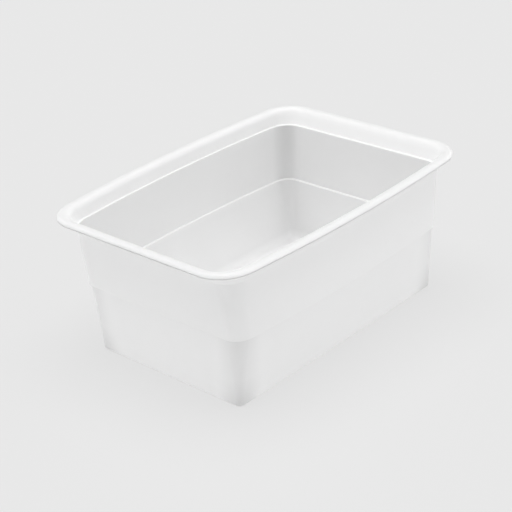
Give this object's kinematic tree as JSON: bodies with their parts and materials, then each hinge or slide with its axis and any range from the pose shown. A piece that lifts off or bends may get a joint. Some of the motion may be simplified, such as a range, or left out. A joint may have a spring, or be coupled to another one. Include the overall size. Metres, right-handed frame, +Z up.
{
  "type": "freezer container",
  "caption": "Open rectangular freezer tub in translucent plastic, with round corners, a turned-down rim, a ledge for a lid and tapered walls with a small step.",
  "frame": {"origin": "middle of the base, on the surface that the tub stands on", "axes": "+Z up through the open mouth, X along the length, Y across the width"},
  "size_m": [0.24, 0.1764, 0.105],
  "materials": {
    "natural_polypropylene": "frosted, milky and slightly translucent, with a soft sheen"
  },
  "bodies": {
    "root": {"tub": "natural_polypropylene"}
  },
  "joints": []
}
